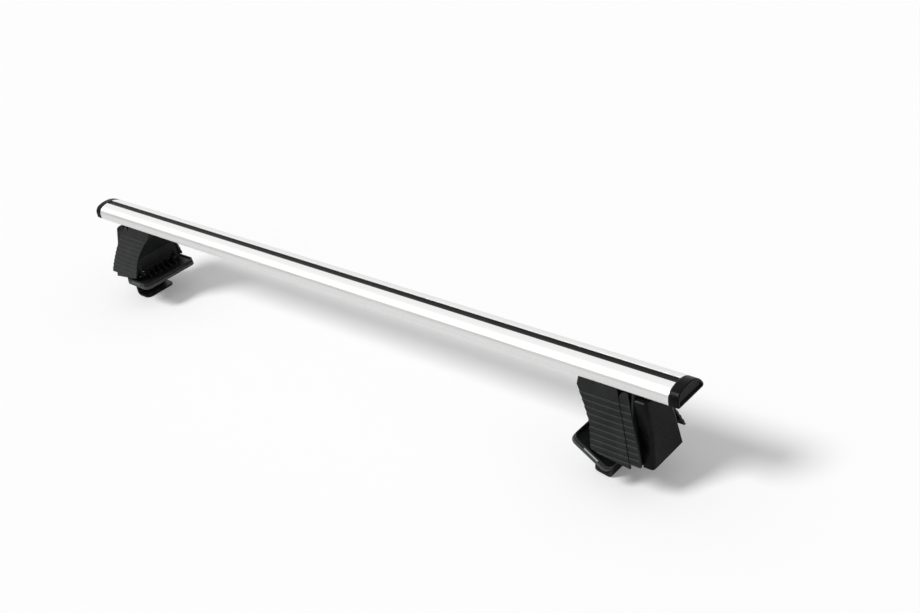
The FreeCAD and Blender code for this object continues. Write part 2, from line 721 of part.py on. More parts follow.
def saddle_screws():
    """Screws that pass up through the table and the saddle into the nuts in the bar's channel."""
    screws = []
    for place in SADDLE_SCREW_PLACES:
        under = SADDLE_THICK + TABLE_THICK
        start = point(place, under + SADDLE_HEAD_HIGH)
        head = rod(start, Vector(0, 0, 1), SADDLE_HEAD_DIA / 2, SADDLE_HEAD_HIGH)
        socket = hexagon(start, Vector(0, 0, 1), SADDLE_SCREW_DIA * 0.7, SADDLE_HEAD_HIGH * 0.6)
        length = under + CHANNEL_LIP + NUT_THICK
        shank = rod(point(place, under), Vector(0, 0, 1), SADDLE_SCREW_DIA / 2, length)
        screws.append(head.fuse(shank).removeSplitter().cut(socket))
    return Part.makeCompound(screws)


def slot_nuts():
    nuts = []
    half = CHANNEL_WIDTH / 2 - NUT_SIDE_GAP
    for place in SADDLE_SCREW_PLACES:
        inboards = (place - NUT_LENGTH / 2, place + NUT_LENGTH / 2)
        nut = block(inboards, (-half, half), (-CHANNEL_LIP, -CHANNEL_LIP - NUT_THICK))
        nuts.append(nut.cut(rod(point(place, WIDE / 2), Vector(0, 0, 1), SADDLE_SCREW_DIA / 2, WIDE)))
    return Part.makeCompound(nuts)


def shell_screw_point(sign):
    under = SADDLE_THICK + TABLE_THICK + LEDGE_THICK
    return point(SHELL_SCREW_PLACE, under, sign * SHELL_SCREW_HALF_SPACING) - Vector(0, 0, 1)


def shell_screws():
    """Two short screws that hold the shell's ledge up under the table."""
    screws = []
    for sign in (-1, 1):
        seat = shell_screw_point(sign) + Vector(0, 0, 1)
        start = seat - Vector(0, 0, SHELL_SCREW_HEAD_HIGH)
        head = rod(start, Vector(0, 0, 1), SHELL_SCREW_HEAD_DIA / 2, SHELL_SCREW_HEAD_HIGH)
        shank = rod(seat, Vector(0, 0, 1), SHELL_SCREW_DIA / 2, LEDGE_THICK + SHELL_SCREW_BITE)
        screws.append(head.fuse(shank).removeSplitter())
    return Part.makeCompound(screws)


# Clamp

def clamp_bolt():
    """Hexagon bolt with a key socket, headed outboard behind the cover, and plain along its shank."""
    seat = -SEAT_SETBACK - WASHER_THICK
    head_end = bolt_point(seat - BOLT_HEAD_HIGH)
    head = hexagon(head_end, bolt_direction(), BOLT_HEAD_ACROSS, BOLT_HEAD_HIGH)
    socket = hexagon(head_end, bolt_direction(), BOLT_SOCKET_ACROSS, BOLT_SOCKET_DEPTH)
    length = NUT_TRAVEL + BARREL_DIA / 2 + BOLT_TAIL - seat
    shank = rod(bolt_point(seat), bolt_direction(), BOLT_DIA / 2, length)
    return head.fuse(shank).removeSplitter().cut(socket)


def thrust_washer():
    start = bolt_point(-SEAT_SETBACK - WASHER_THICK)
    disc = rod(start, bolt_direction(), WASHER_DIA / 2, WASHER_THICK)
    return disc.cut(rod(start, bolt_direction(), BOLT_DIA / 2 + BOLT_RUN, WASHER_THICK))


def stop_collar():
    """Collar pressed on the bolt inboard of the boss, which keeps the bolt from moving outboard."""
    start = bolt_point(BOSS_DEPTH + COLLAR_GAP - SEAT_SETBACK)
    disc = rod(start, bolt_direction(), COLLAR_DIA / 2, COLLAR_LENGTH)
    return disc.cut(rod(start, bolt_direction(), BOLT_DIA / 2 + THREAD_RUN, COLLAR_LENGTH))


def barrel_nut():
    """Cross barrel that the bolt screws through and that the hook hangs on."""
    half = HOOK_HALF + BARREL_OVERHANG
    barrel = rod(point(NUT_INBOARD, NUT_DROP, -half), Vector(0, 1, 0), BARREL_DIA / 2, 2 * half)
    bore = rod(bolt_point(-BARREL_DIA), bolt_direction(), BOLT_DIA / 2 + BARREL_RUN, 2 * BARREL_DIA)
    return barrel.cut(bore)


def hook_outline():
    """Side view of the hook: rolled eye, straight strap, bend and inboard lip."""
    outer = NUT_INBOARD - EYE_RADIUS
    low = NUT_DROP + HOOK_REACH
    inner = outer + HOOK_THICK
    lip_end = outer + HOOK_LIP
    diagonal = math.sqrt(0.5)
    bend = (outer + HOOK_BEND, low - HOOK_BEND)
    inside = HOOK_BEND - HOOK_THICK
    edges = [
        line(point(outer, NUT_DROP), point(outer, bend[1])),
        arc(
            point(outer, bend[1]),
            point(bend[0] - HOOK_BEND * diagonal, bend[1] + HOOK_BEND * diagonal),
            point(bend[0], low),
        ),
        line(point(bend[0], low), point(lip_end, low)),
        line(point(lip_end, low), point(lip_end, low - HOOK_THICK)),
        line(point(lip_end, low - HOOK_THICK), point(bend[0], low - HOOK_THICK)),
        arc(
            point(bend[0], low - HOOK_THICK),
            point(bend[0] - inside * diagonal, bend[1] + inside * diagonal),
            point(inner, bend[1]),
        ),
        line(point(inner, bend[1]), point(inner, NUT_DROP)),
        line(point(inner, NUT_DROP), point(outer, NUT_DROP)),
    ]
    return face(edges)


def clamp_hook():
    """Bent steel strap with a knuckle on the barrel, two slots and a round-cornered lip."""
    width = 2 * HOOK_HALF
    strap = hook_outline().translated(Vector(0, -HOOK_HALF, 0)).extrude(Vector(0, width, 0))
    centre = point(NUT_INBOARD, NUT_DROP, -HOOK_HALF)
    eye = rod(centre, Vector(0, 1, 0), EYE_RADIUS, width)
    solid = strap.fuse(eye).removeSplitter()
    solid = solid.cut(rod(centre, Vector(0, 1, 0), BARREL_DIA / 2 + BARREL_RUN, width))
    window = block(
        (NUT_INBOARD - 2 * EYE_RADIUS, NUT_INBOARD + 2 * EYE_RADIUS),
        (-HOOK_WINDOW_HALF, HOOK_WINDOW_HALF),
        (NUT_DROP - 2 * EYE_RADIUS, NUT_DROP + HOOK_WINDOW_DROP),
    )
    solid = solid.cut(window)
    low = NUT_DROP + HOOK_REACH
    outer = NUT_INBOARD - EYE_RADIUS
    for sign in (-1, 1):
        middle = sign * HOOK_SLOT_SPACING / 2
        solid = solid.cut(hook_slot(outer, low - HOOK_SLOT_LOW, middle))
    return round_lip(solid, outer + HOOK_LIP)


def hook_slot(outer, low, middle):
    """Round-ended slot through the strap, whose lower end is at the given drop."""
    radius = HOOK_SLOT_WIDTH / 2
    inboards = (outer - 1, outer + HOOK_THICK + 1)
    high = low - HOOK_SLOT_HEIGHT
    slot = block(inboards, (middle - radius, middle + radius), (high + radius, low - radius))
    ends = [
        rod(point(inboards[1], drop, middle), Vector(1, 0, 0), radius, HOOK_THICK + 2)
        for drop in (high + radius, low - radius)
    ]
    return slot.fuse(ends)


def round_lip(solid, lip_end):
    """Rounds the two free corners of the lip."""
    corners = [
        edge
        for edge in solid.Edges
        if edge.Length < HOOK_THICK * 1.01
        and abs(edge.CenterOfMass.x + lip_end) < 0.01
        and abs(abs(edge.CenterOfMass.y) - HOOK_HALF) < 0.01
    ]
    return solid.makeFillet(HOOK_CORNER, corners)


# Tilting pad

def pad_plate(inset, low, high):
    """Round-cornered plate between two heights over the pad's base."""
    length = PAD_LENGTH - 2 * inset
    half = PAD_HALF - inset
    base = PIVOT_DROP + PIVOT_OVER_PAD
    inboards = (PAD_MIDDLE - length / 2, PAD_MIDDLE + length / 2)
    plate = block(inboards, (-half, half), (base - low, base - high))
    corners = [edge for edge in plate.Edges if abs(edge.Vertexes[0].Z - edge.Vertexes[1].Z) > (high - low) / 2]
    return plate.makeFillet(PAD_CORNER - inset, corners)


def notch(inset):
    """Space that the hook's strap passes through, open outboard."""
    outboard = PAD_MIDDLE - PAD_LENGTH / 2
    notch_half = NOTCH_HALF + inset
    return block((outboard - 1, outboard + NOTCH_DEPTH + inset), (-notch_half, notch_half), (0, WIDE))


def rubber_pad():
    """Rubber pad with shallow grooves across its underside."""
    solid = pad_plate(0.0, 0.0, PAD_THICK).cut(notch(0.0))
    base = PIVOT_DROP + PIVOT_OVER_PAD
    clear = PAD_LENGTH - NOTCH_DEPTH
    for k in range(PAD_GROOVE_COUNT):
        middle = PAD_MIDDLE + PAD_LENGTH / 2 - clear * (k + 0.5) / PAD_GROOVE_COUNT
        span = (middle - PAD_GROOVE_WIDTH / 2, middle + PAD_GROOVE_WIDTH / 2)
        reach = PAD_HALF - PAD_CORNER
        solid = solid.cut(block(span, (-reach, reach), (base - PAD_GROOVE_DEPTH, base + 1)))
    return solid.removeSplitter()


def pad_insert():
    """Steel plate between the rubber and the tray, whose bright edge shows beside the ears."""
    solid = pad_plate(INSERT_INSET, PAD_THICK, TRAY_BASE)
    base = PIVOT_DROP + PIVOT_OVER_PAD
    inboards = (PIVOT_INBOARD - INSERT_TAB_HALF, PIVOT_INBOARD + INSERT_TAB_HALF)
    half = PAD_HALF - INSERT_TAB_INSET
    tabs = block(inboards, (-half, half), (base - PAD_THICK, base - TRAY_BASE))
    return solid.fuse(tabs).removeSplitter().cut(notch(INSERT_INSET))


def pad_tray():
    """Moulded tray over the rubber, with a raised rim and two ears for the stub bolts."""
    top = TRAY_BASE + TRAY_PLATE
    solid = pad_plate(TRAY_INSET, TRAY_BASE, top + TRAY_RIM_HIGH)
    solid = solid.cut(pad_plate(TRAY_INSET + TRAY_RIM, top, top + TRAY_RIM_HIGH + 1)).cut(notch(TRAY_INSET))
    base = PIVOT_DROP + PIVOT_OVER_PAD - TRAY_BASE - TRAY_PLATE / 2
    edge = PAD_MIDDLE - PAD_LENGTH / 2 + NOTCH_DEPTH
    wall = block((edge + TRAY_INSET, edge + TRAY_INSET + TRAY_WALL), (-TRAY_WALL_HALF, TRAY_WALL_HALF),
                 (base, TRAY_WALL_TOP))
    ears = [ear(sign) for sign in (-1, 1)]
    solid = solid.fuse(ears + [wall]).removeSplitter()
    for sign in (-1, 1):
        start = point(PIVOT_INBOARD, PIVOT_DROP, sign * (EAR_INNER - 1))
        solid = solid.cut(rod(start, Vector(0, sign, 0), PIVOT_DIA / 2 + PIVOT_RUN, EAR_THICK + 2))
    return solid


def ear(sign):
    halves = (sign * EAR_INNER, sign * (EAR_INNER + EAR_THICK))
    base = PIVOT_DROP + PIVOT_OVER_PAD - TRAY_BASE - TRAY_PLATE / 2
    post = block((PIVOT_INBOARD - EAR_RADIUS, PIVOT_INBOARD + EAR_RADIUS), halves, (base, PIVOT_DROP))
    top = rod(point(PIVOT_INBOARD, PIVOT_DROP, sign * EAR_INNER), Vector(0, sign, 0), EAR_RADIUS, EAR_THICK)
    return post.fuse(top)


def pivot_bolts():
    """Stub bolts, headed inside the ears, that the tray turns on."""
    bolts = []
    for sign in (-1, 1):
        out = Vector(0, sign, 0)
        face_in = EAR_INNER - EAR_GAP / 2
        head_start = point(PIVOT_INBOARD, PIVOT_DROP, sign * (face_in - PIVOT_HEAD_THICK))
        head = rod(head_start, out, PIVOT_HEAD_DIA / 2, PIVOT_HEAD_THICK)
        length = LUG_INNER + LUG_THICK + PIVOT_NUT_THICK - face_in
        shank = rod(point(PIVOT_INBOARD, PIVOT_DROP, sign * face_in), out, PIVOT_DIA / 2, length)
        bolts.append(head.fuse(shank).removeSplitter())
    return Part.makeCompound(bolts)


def pivot_nuts():
    nuts = []
    for sign in (-1, 1):
        out = Vector(0, sign, 0)
        start = point(PIVOT_INBOARD, PIVOT_DROP, sign * (LUG_INNER + LUG_THICK))
        nut = hexagon(start, out, PIVOT_NUT_ACROSS, PIVOT_NUT_THICK)
        nuts.append(nut.cut(rod(start, out, PIVOT_DIA / 2, PIVOT_NUT_THICK)))
    return Part.makeCompound(nuts)


# Poses of the moving pieces in each foot

def tilted(shape, side):
    """Left pad level, right pad tilted with its inboard edge up."""
    angle = RIGHT_PAD_TILT if side == "right" else 0.0
    turned = shape.copy()
    turned.rotate(point(PIVOT_INBOARD, PIVOT_DROP), Vector(0, 1, 0), angle)
    return turned


def nut_shift(side):
    return bolt_direction() * (NUT_TRAVEL if side == "right" else 0.0)


def drawn(shape, side):
    return shape.translated(nut_shift(side))


def swung(shape, side):
    """Left hook hangs straight, right hook is swung inboard and carried along the bolt."""
    angle = RIGHT_HOOK_SWING if side == "right" else 0.0
    turned = shape.copy()
    turned.rotate(point(NUT_INBOARD, NUT_DROP), Vector(0, 1, 0), angle)
    return drawn(turned, side)


def still(shape, side):
    return shape


def placed(shape, side):
    """Carries a piece of the foot's frame to the right or, turned half round, to the left end."""
    moved = shape.copy()
    if side == "left":
        moved.rotate(Vector(0, 0, 0), Vector(0, 0, 1), 180)
    offset = BAR_LENGTH / 2 if side == "right" else -BAR_LENGTH / 2
    return moved.translated(Vector(offset, 0, BAR_STAND))


FOOT_PIECES = {
    "foot_shell": (foot_shell, still),
    "foot_frame": (foot_frame, still),
    "outer_cover": (outer_cover, still),
    "saddle_plate": (saddle_plate, still),
    "saddle_screws": (saddle_screws, still),
    "slot_nuts": (slot_nuts, still),
    "shell_screws": (shell_screws, still),
    "clamp_bolt": (clamp_bolt, still),
    "thrust_washer": (thrust_washer, still),
    "stop_collar": (stop_collar, still),
    "barrel_nut": (barrel_nut, drawn),
    "clamp_hook": (clamp_hook, swung),
    "pad_tray": (pad_tray, tilted),
    "pad_insert": (pad_insert, tilted),
    "rubber_pad": (rubber_pad, tilted),
    "pivot_bolts": (pivot_bolts, still),
    "pivot_nuts": (pivot_nuts, still),
}


def write(name, shape):
    shape.exportStep(os.path.join("parts", name + ".step"))


def main():
    os.makedirs("parts", exist_ok=True)
    write("bar_extrusion", bar_extrusion())
    write("slot_infill_strip", slot_infill_strip())
    cap = end_cap()
    write("end_cap_right", cap)
    write("end_cap_left", cap.mirror(Vector(0, 0, 0), Vector(1, 0, 0)))
    for name, (build, pose) in FOOT_PIECES.items():
        shape = build()
        for side in ("left", "right"):
            write(name + "_" + side, placed(pose(shape, side), side))


main()
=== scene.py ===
"""Looks, light and camera for a roof rack crossbar: an aluminium bar on two clamping feet."""

import json
import logging
import math
from dataclasses import dataclass, field
from enum import Enum
from typing import Any

import bpy
from mathutils import Matrix, Vector


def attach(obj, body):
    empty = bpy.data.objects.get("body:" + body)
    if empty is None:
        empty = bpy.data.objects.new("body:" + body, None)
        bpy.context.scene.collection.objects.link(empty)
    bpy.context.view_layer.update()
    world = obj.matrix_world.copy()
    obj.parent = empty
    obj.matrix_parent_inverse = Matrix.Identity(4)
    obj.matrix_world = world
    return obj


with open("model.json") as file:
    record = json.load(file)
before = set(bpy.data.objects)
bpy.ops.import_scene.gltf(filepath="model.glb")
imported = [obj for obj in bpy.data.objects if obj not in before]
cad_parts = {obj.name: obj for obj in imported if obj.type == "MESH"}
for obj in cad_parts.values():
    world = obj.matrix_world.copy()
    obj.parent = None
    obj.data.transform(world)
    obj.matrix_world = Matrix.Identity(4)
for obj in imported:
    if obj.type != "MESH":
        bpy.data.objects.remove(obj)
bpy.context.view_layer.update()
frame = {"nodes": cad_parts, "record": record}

LOG = logging.getLogger("crossbar")
MM = 0.001

# How far from a place, in millimetres, a corner still counts as there
NEAR_MM = 0.1
# Faces that meet at less than this many degrees shade as one
SMOOTH_DEGREES = 35

# Numbers of a Mix node's sockets, whose names repeat: factor, the pair that is mixed, and the result
MIX_FACTOR = 0
MIX_COLOURS = (6, 7)
MIX_COLOUR = 2
MIX_VALUES = (2, 3)
MIX_VALUE = 0


class Side(Enum):
    """The two ends of the bar, with the direction that points outboard along X."""

    LEFT = -1
    RIGHT = 1

    @property
    def word(self) -> str:
        """The suffix that the side's nodes and bodies carry."""
        return self.name.lower()


def linear(code: str) -> tuple[float, float, float, float]:
    """Turns an sRGB hex colour into linear light, by the curve that the sRGB standard gives.

    Args:
        code: Six hex digits.

    Returns:
        Red, green, blue and an alpha of one.
    """
    values = [int(code[place:place + 2], 16) / 255 for place in (0, 2, 4)]
    light = [v / 12.92 if v <= 0.04045 else ((v + 0.055) / 1.055) ** 2.4 for v in values]
    return (light[0], light[1], light[2], 1.0)


def add_node(
    tree: bpy.types.NodeTree,
    kind: str,
    settings: dict[str, Any] | None = None,
    inputs: dict[Any, Any] | None = None,
) -> bpy.types.Node:
    """Adds a shader node with its settings, values and links.

    Args:
        tree: The node tree that gets the node.
        kind: The node's type name.
        settings: Properties set on the node itself.
        inputs: Input names or numbers, each with a value or with the output socket to link.

    Returns:
        The new node.
    """
    node = tree.nodes.new(kind)
    for name, value in (settings or {}).items():
        setattr(node, name, value)
    for name, value in (inputs or {}).items():
        if isinstance(value, bpy.types.NodeSocket):
            tree.links.new(value, node.inputs[name])
        else:
            node.inputs[name].default_value = value
    return node


@dataclass(frozen=True)
class Finish:
    """A surface that wanders between two tones and two roughnesses, with a grain and rounded edges.

    Sizes are in millimetres: tone_mm and grain_mm are the width of a blotch and of a grain, and edge_mm is
    the radius that an edge seems to have. stretch makes both patterns longer along an axis. The edge colour,
    where it is given, paints a highlight: a paler line along edges. The spans are the noise that fills a
    range.
    """

    name: str
    colours: tuple[str, str]
    tone_mm: float
    roughness: tuple[float, float]
    grain_mm: float
    grain_depth_mm: float
    metallic: float = 0.0
    specular: float = 0.5
    ior: float = 1.5
    stretch: tuple[float, float, float] = (1.0, 1.0, 1.0)
    edge_mm: float = 0.4
    edge_samples: int = 4
    edge_colour: str = ""
    edge_span: tuple[float, float] = (0.90, 0.995)
    tone_octaves: float = 3.0
    grain_octaves: float = 2.0
    speckle_span: tuple[float, float] = (0.72, 1.28)
    grain_span: tuple[float, float] = (0.3, 0.7)

    def material(self) -> bpy.types.Material:
        """Builds the node material of this finish.

        Returns:
            The new material.
        """
        material = bpy.data.materials.new(self.name)
        material.use_nodes = True
        tree = material.node_tree
        tree.nodes.clear()
        place = add_node(tree, "ShaderNodeTexCoord")
        shrink = [1.0 / value for value in self.stretch]
        spread = add_node(tree, "ShaderNodeMapping", {}, {"Vector": place.outputs["Object"], "Scale": shrink})
        vector = spread.outputs["Vector"]
        tones = add_node(
            tree,
            "ShaderNodeTexNoise",
            {},
            {"Vector": vector, "Scale": 1.0 / (self.tone_mm * MM), "Detail": self.tone_octaves},
        )
        grain = add_node(
            tree,
            "ShaderNodeTexNoise",
            {},
            {"Vector": vector, "Scale": 1.0 / (self.grain_mm * MM), "Detail": self.grain_octaves},
        )
        speckle = add_node(
            tree, "ShaderNodeMath", {"operation": "ADD"}, {0: tones.outputs["Fac"], 1: grain.outputs["Fac"]}
        )
        share = add_node(
            tree,
            "ShaderNodeMapRange",
            {},
            {
                "Value": speckle.outputs["Value"],
                "From Min": self.speckle_span[0],
                "From Max": self.speckle_span[1],
            },
        )
        first, second = MIX_COLOURS
        colour = add_node(
            tree,
            "ShaderNodeMix",
            {"data_type": "RGBA"},
            {
                MIX_FACTOR: share.outputs["Result"],
                first: linear(self.colours[0]),
                second: linear(self.colours[1]),
            },
        )
        rough = add_node(
            tree,
            "ShaderNodeMapRange",
            {},
            {
                "Value": grain.outputs["Fac"],
                "From Min": self.grain_span[0],
                "From Max": self.grain_span[1],
                "To Min": self.roughness[0],
                "To Max": self.roughness[1],
            },
        )
        edge = add_node(
            tree, "ShaderNodeBevel", {"samples": self.edge_samples}, {"Radius": self.edge_mm * MM}
        )
        # Painted highlight: a paler colour mixed into the surface along its edges, where light would catch
        # them
        if self.edge_colour:
            colour = self.paler_edges(tree, colour.outputs[MIX_COLOUR], edge.outputs["Normal"])
        bump = add_node(
            tree,
            "ShaderNodeBump",
            {},
            {
                "Distance": self.grain_depth_mm * MM,
                "Height": grain.outputs["Fac"],
                "Normal": edge.outputs["Normal"],
            },
        )
        shader = add_node(
            tree,
            "ShaderNodeBsdfPrincipled",
            {},
            {
                "Base Color": colour.outputs[MIX_COLOUR],
                "Metallic": self.metallic,
                "Roughness": rough.outputs["Result"],
                "IOR": self.ior,
                "Specular IOR Level": self.specular,
                "Normal": bump.outputs["Normal"],
            },
        )
        add_node(tree, "ShaderNodeOutputMaterial", {}, {"Surface": shader.outputs["BSDF"]})
        return material

    def paler_edges(
        self, tree: bpy.types.NodeTree, colour: bpy.types.NodeSocket, rounded: bpy.types.NodeSocket
    ) -> bpy.types.Node:
        """Adds a painted highlight along edges: a thin paler line where the rounded normal leaves the flat
        one.

        Args:
            tree: The material's node tree.
            colour: The surface's own colour.
            rounded: The normal with its edges rounded.

        Returns:
            The node that mixes the two colours.
        """
        flat = add_node(tree, "ShaderNodeNewGeometry")
        likeness = add_node(
            tree,
            "ShaderNodeVectorMath",
            {"operation": "DOT_PRODUCT"},
            {0: rounded, 1: flat.outputs["Normal"]},
        )
        highlight_amount = add_node(
            tree,
            "ShaderNodeMapRange",
            {},
            {
                "Value": likeness.outputs["Value"],
                "From Min": self.edge_span[0],
                "From Max": self.edge_span[1],
                "To Min": 1.0,
                "To Max": 0.0,
            },
        )
        first, second = MIX_COLOURS
        return add_node(
            tree,
            "ShaderNodeMix",
            {"data_type": "RGBA"},
            {MIX_FACTOR: highlight_amount.outputs["Result"], first: colour, second: linear(self.edge_colour)},
        )

    def coat(self, piece: bpy.types.Object) -> None:
        """Puts the finish on one piece, with one material for all that share it.

        Args:
            piece: The piece that gets it.
        """
        piece.data.materials.clear()
        piece.data.materials.append(bpy.data.materials.get(self.name) or self.material())
        LOG.info("%s: %s", piece.name, self.name)

    def dress(self, *names: str) -> None:
        """Puts the finish on CAD nodes.

        Args:
            names: The nodes that get it.
        """
        for name in names:
            self.coat(frame["nodes"][name])


# A moulded or coated surface's real grain is about a tenth of a millimetre wide. Here it is drawn about ten
# times as coarse, so that it shows.

# Anodised 6063 aluminium, extruded: pale satin with faint die lines that run along the bar
ANODISED_ALUMINIUM = Finish(
    name="anodised_aluminium",
    colours=("eeeeed", "e8e8e7"),
    tone_mm=60.0,
    roughness=(0.30, 0.38),
    grain_mm=1.2,
    grain_depth_mm=0.004,
    metallic=1.0,
    stretch=(60.0, 1.0, 1.0),
)
# EPDM rubber, extruded: near black, with a fine skin that shines in places
EXTRUDED_EPDM = Finish(
    name="extruded_epdm",
    colours=("060607", "121314"),
    tone_mm=9.0,
    roughness=(0.36, 0.60),
    grain_mm=1.0,
    grain_depth_mm=0.05,
    specular=0.12,
    stretch=(10.0, 1.0, 1.0),
)
# Glass-filled nylon, moulded in a spark-eroded tool: black with a fine even grain that breaks up its gloss
MOULDED_NYLON = Finish(
    name="moulded_nylon",
    colours=("0a0b0c", "1d1e1f"),
    tone_mm=22.0,
    roughness=(0.36, 0.50),
    grain_mm=1.1,
    grain_depth_mm=0.10,
    specular=0.21,
    # Its edges get a painted highlight, a paler colour along them
    edge_colour="3a3b3d",
)
# ASA, moulded in a finer tool: black and a little smoother than the nylon
MOULDED_ASA = Finish(
    name="moulded_asa",
    colours=("080809", "18181a"),
    tone_mm=30.0,
    roughness=(0.22, 0.36),
    grain_mm=1.0,
    grain_depth_mm=0.06,
    specular=0.08,
    # Its edges get a painted highlight, a paler colour along them
    edge_colour="3e3e40",
)
# Polypropylene, moulded: the caps' black, with a soft waxy gloss and a painted highlight that makes its edges
# pale
MOULDED_POLYPROPYLENE = Finish(
    name="moulded_polypropylene",
    colours=("040404", "121213"),
    tone_mm=9.0,
    roughness=(0.18, 0.46),
    grain_mm=1.3,
    grain_depth_mm=0.10,
    specular=0.07,
    # Paler colour of the painted edge highlight
    edge_colour="5c5c5e",
)
# Natural rubber, compression moulded: dull black with a grey cast where it is handled
MOULDED_RUBBER = Finish(
    name="moulded_rubber",
    colours=("2a2a2a", "454545"),
    tone_mm=7.0,
    roughness=(0.56, 0.74),
    grain_mm=1.0,
    grain_depth_mm=0.06,
    specular=0.42,
)
# Mild steel, powder coated: flat black with a shallow orange peel
POWDER_COATED_STEEL = Finish(
    name="powder_coated_steel",
    colours=("050506", "0e0e0f"),
    tone_mm=12.0,
    roughness=(0.34, 0.50),
    grain_mm=1.6,
    grain_depth_mm=0.08,
    specular=0.20,
)
# Mild steel, zinc plated: cool grey metal with a soft cloudy shine
ZINC_PLATED_STEEL = Finish(
    name="zinc_plated_steel",
    colours=("c2c6c9", "adb2b6"),
    tone_mm=5.0,
    roughness=(0.24, 0.40),
    grain_mm=1.2,
    grain_depth_mm=0.01,
    metallic=1.0,
    edge_mm=0.25,
)
# The same plating, passivated black: a dark metal with a dull blue cast
BLACK_ZINC = Finish(
    name="black_zinc",
    colours=("26282b", "1c1e20"),
    tone_mm=5.0,
    roughness=(0.34, 0.50),
    grain_mm=1.2,
    grain_depth_mm=0.01,
    metallic=1.0,
    edge_mm=0.25,
)


@dataclass
class Bar:
    """The aluminium profile with its rubber strip and end caps."""

    profile: str = "bar_extrusion"
    strip: str = "slot_infill_strip"
    caps: list[str] = field(default_factory=lambda: [f"end_cap_{side.word}" for side in Side])

    def dress(self) -> None:
        """Gives the bar's nodes their finishes."""
        ANODISED_ALUMINIUM.dress(self.profile)
        EXTRUDED_EPDM.dress(self.strip)
        MOULDED_POLYPROPYLENE.dress(*self.caps)


@dataclass
class Foot:
    """One clamping foot, with its mouldings, tilting pad and hook: the nodes that each finish covers."""

    side: Side
    nylon: tuple[str, ...] = ("foot_shell", "foot_frame", "pad_tray")
    asa: tuple[str, ...] = ("outer_cover",)
    rubber: tuple[str, ...] = ("rubber_pad",)
    powder_coated: tuple[str, ...] = ("clamp_hook",)
    zinc: tuple[str, ...] = (
        "saddle_plate",
        "saddle_screws",
        "slot_nuts",
        "shell_screws",
        "clamp_bolt",
        "thrust_washer",
        "stop_collar",
        "barrel_nut",
        "pad_insert",
    )
    black_zinc: tuple[str, ...] = ("pivot_bolts", "pivot_nuts")

    def names(self, stems: tuple[str, ...]) -> list[str]:
        """The node names of this foot for some stems."""
        return [f"{stem}_{self.side.word}" for stem in stems]

    def dress(self) -> None:
        """Gives the foot's nodes their finishes."""
        MOULDED_NYLON.dress(*self.names(self.nylon))
        MOULDED_ASA.dress(*self.names(self.asa))
        MOULDED_RUBBER.dress(*self.names(self.rubber))
        POWDER_COATED_STEEL.dress(*self.names(self.powder_coated))
        ZINC_PLATED_STEEL.dress(*self.names(self.zinc))
        BLACK_ZINC.dress(*self.names(self.black_zinc))


